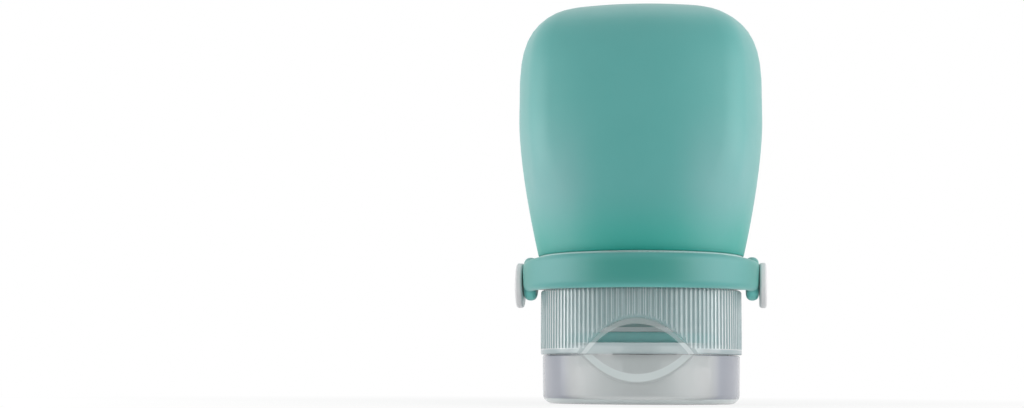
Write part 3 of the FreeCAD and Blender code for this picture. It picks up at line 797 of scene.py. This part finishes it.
def make_camera():
    clear_selection()
    place = (CAMERA_BACK * math.sin(CAMERA_SIDE), -CAMERA_BACK * math.cos(CAMERA_SIDE), CAMERA_HEIGHT)
    bpy.ops.object.camera_add(location=place)
    camera = named("photo_camera")
    heading = Matrix.Rotation(CAMERA_SIDE + CAMERA_TURN, 3, "Z")
    pitch = Matrix.Rotation(QUARTER + CAMERA_PITCH, 3, "X")
    roll = Matrix.Rotation(CAMERA_ROLL, 3, "Z")
    camera.rotation_euler = (heading @ pitch @ roll).to_euler()
    camera.data.sensor_width = SENSOR
    camera.data.lens = SENSOR * FOCAL_PIXELS / PHOTO_WIDTH
    camera.data.clip_start = NEAREST_SEEN
    bpy.context.scene.camera = camera


def soft_light(name, place, aim_height, width, height, power):
    """A large soft panel of light that faces a point on the bottle's axis."""
    clear_selection()
    bpy.ops.object.light_add(type="AREA", location=place)
    light = named(name)
    light.data.shape = "RECTANGLE"
    light.data.size = width
    light.data.size_y = height
    light.data.energy = power
    light.rotation_euler = (Vector((0, 0, aim_height)) - Vector(place)).to_track_quat("-Z", "Y").to_euler()
    light.visible_camera = False


def make_world():
    """White where it is looked at, reflected or seen through plastic, and an even soft light elsewhere."""
    world = bpy.data.worlds.new("studio")
    bpy.context.scene.world = world
    sky = Recipe(world)
    fill = sky.node("ShaderNodeBackground", {}, {"Color": AMBIENT_GREY, "Strength": AMBIENT})
    white = sky.node("ShaderNodeBackground", {}, {"Color": STUDIO_WHITE, "Strength": 1.0})
    sky.show_either(sky.shown(), fill, white, "World Output")


def make_floor():
    """A plain pale floor that keeps the shadow near the bottle and turns plain white further off."""
    clear_selection()
    bpy.ops.mesh.primitive_plane_add(size=FLOOR_SIZE, location=(0, 0, -FLOOR_DROP))
    floor = named("studio_floor")
    settle(floor)
    finish = new_finish("pale_floor")
    finish.set(Base_Color=FLOOR_PALE, Roughness=0.9, Specular_IOR_Level=0.1)
    matte = Wire(finish, finish.nodes["Principled BSDF"].outputs[0])
    glow = finish.node("ShaderNodeEmission", {}, {"Color": STUDIO_WHITE, "Strength": 1.0})
    away = finish.node("ShaderNodeVectorMath", {"operation": "LENGTH"}, {0: finish.place()}, "Value")
    far = finish.between(away, SHADOW_NEAR, SHADOW_FAR)
    share = finish.shown() * (FLOOR_GLOW + (1 - FLOOR_GLOW) * far)
    finish.show_either(share, matte, glow, "Material Output")
    paint(floor, finish.owner)


# Colours of the silicone pieces.
# The body's sheen tint is a painted reflection of the side lamps on its lower corners, and its foot tint is
# painted shade, a deeper teal where the lower flank faces down.
BODY_TINTS = SiliconeTints(
    colour=rgba(0.06, 0.385, 0.36),
    pale=rgba(0.075, 0.41, 0.385),
    foot=rgba(0.0, 0.385, 0.32),
    bloom=rgba(0.135, 0.42, 0.41),
)
# The strap's foot tint is a paler painted bounce of light from the floor on its lower edge.
STRAP_TINTS = SiliconeTints(
    colour=rgba(0.0, 0.28, 0.235),
    pale=rgba(0.01, 0.29, 0.25),
    foot=rgba(0.16, 0.66, 0.61),
    bloom=rgba(0.07, 0.36, 0.34),
)
# Painted highlights on the strap's top and bottom edges, paler than the dark middle of its face.
STRAP_EDGE_HIGHLIGHT = PaintedEdgeHighlight(middle=26.6 * MM, inner=0.8 * MM, outer=3.8 * MM)
# The gasket's teal is painted paler than its own colour, painted light standing in for light that reaches it
# through the cap.
GASKET_TEAL = rgba(0.17, 0.74, 0.7)
GASKET_SHADE = rgba(0.16, 0.7, 0.66)
GASKET_TINTS = SiliconeTints(colour=GASKET_TEAL, pale=GASKET_TEAL, foot=GASKET_SHADE, bloom=GASKET_TEAL)
VALVE_PALE = rgba(0.78, 0.82, 0.82)
VALVE_SHADE = rgba(0.7, 0.75, 0.75)
VALVE_TINTS = SiliconeTints(colour=VALVE_PALE, pale=VALVE_PALE, foot=VALVE_SHADE, bloom=VALVE_PALE)

# Colours and veils of the plastic pieces.
# On the cap the edge tint is a painted highlight on its sides, and dim is painted shade on the skin's foot.
FROST_TINTS = MilkyTints(
    colour=rgba(0.33, 0.53, 0.55),
    shade=rgba(0.3, 0.5, 0.52),
    edge=rgba(0.6, 0.655, 0.67),
    pale=rgba(0.7, 0.8, 0.81),
    dim=rgba(0.3, 0.38, 0.4),
)
FROST_VEIL = MilkyVeil(core=0.08, skin=0.5, edge=0.38, rim=0.25, pad=0.6)
FROST_SKIN = 20.5 * MM
FROST_RIM = (19.9 * MM, 20.3 * MM)
# On the lid the edge tint is painted shade, darker lavender bands on its sides, and dim is painted shade on
# the skin's foot.
CLEAR_TINTS = MilkyTints(
    colour=rgba(0.71, 0.735, 0.735),
    shade=rgba(0.67, 0.695, 0.695),
    edge=rgba(0.35, 0.37, 0.43),
    pale=rgba(0.72, 0.79, 0.79),
    dim=rgba(0.66, 0.665, 0.665),
)
CLEAR_VEIL = MilkyVeil(core=0.2, skin=0.45, edge=0.35, rim=0.3, pad=0.45)
CLEAR_SKIN = 20.2 * MM
CLEAR_RIM = (19.3 * MM, 20.1 * MM)
PALE = rgba(0.7, 0.74, 0.74)
PALE_SHADE = rgba(0.66, 0.7, 0.7)
# Painted light: the collar's rim is painted a pale teal for the light that passes in from the body.
RIM_PAINTED_LIGHT = rgba(0.55, 0.78, 0.76)
WHITE = rgba(0.8, 0.79, 0.8)
WHITE_SHADE = rgba(0.75, 0.74, 0.75)
WHITE_RELIEF = 0.008 * MM

body = make_body()
strap = make_strap()
gasket = make_gasket()
valve = make_valve()
film = make_film_hinge()

teal_silicone = silicone_finish("teal_silicone", BODY_TINTS, foot_from=44 * MM, foot_to=29 * MM, bloom=1.0)
strap_silicone = silicone_finish(
    "strap_silicone", STRAP_TINTS, foot_from=24.2 * MM, foot_to=22.4 * MM, bloom=0.5, painted_edge_highlight=STRAP_EDGE_HIGHLIGHT
)
gasket_silicone = silicone_finish(
    "gasket_silicone", GASKET_TINTS, foot_from=40 * MM, foot_to=5 * MM, bloom=0.2
)
valve_silicone = silicone_finish(
    "valve_silicone", VALVE_TINTS, foot_from=14 * MM, foot_to=9 * MM, bloom=0.2, solid=0.15
)
frosted = milky_finish(
    "frosted_plastic",
    FROST_TINTS,
    FROST_VEIL,
    FROST_SKIN,
    FROST_RIM,
    glance=(0.17, 0.5),
    clarity=0.0,
    gloss=1.0,
    coat_index=2.1,
)
clear = milky_finish(
    "clear_plastic",
    CLEAR_TINTS,
    CLEAR_VEIL,
    CLEAR_SKIN,
    CLEAR_RIM,
    glance=(0.26, 0.42),
    clarity=0.2,
    gloss=0.6,
    coat_index=1.5,
)
pale = plastic_finish("pale_plastic", PALE, PALE_SHADE, rough=0.2, rough_range=0.1, relief=WAVE_DEPTH)
collar = collar_finish("collar_plastic", PALE, PALE_SHADE, RIM_PAINTED_LIGHT)
white = plastic_finish("white_plastic", WHITE, WHITE_SHADE, rough=0.3, rough_range=0.14, relief=WHITE_RELIEF)

paint(body, teal_silicone)
paint(strap, strap_silicone)
paint(gasket, gasket_silicone)
paint(valve, valve_silicone)
paint(film, clear)
dress("screw_cap", frosted)
dress("flip_lid", clear)
dress("neck_collar", collar)
dress("neck_insert", pale)
dress("strap_button_left", white)
dress("strap_button_right", white)
dress("valve_retainer", white)

make_camera()
make_world()
make_floor()
soft_light(
    "left_panel",
    place=(-150 * MM, -45 * MM, 50 * MM),
    aim_height=50 * MM,
    width=150 * MM,
    height=100 * MM,
    power=0.098,
)
soft_light(
    "right_panel",
    place=(150 * MM, -55 * MM, 55 * MM),
    aim_height=55 * MM,
    width=180 * MM,
    height=110 * MM,
    power=0.124,
)
soft_light(
    "top_panel",
    place=(0, 100 * MM, 600 * MM),
    aim_height=45 * MM,
    width=500 * MM,
    height=400 * MM,
    power=0.5,
)
bpy.context.scene.view_settings.view_transform = "Standard"
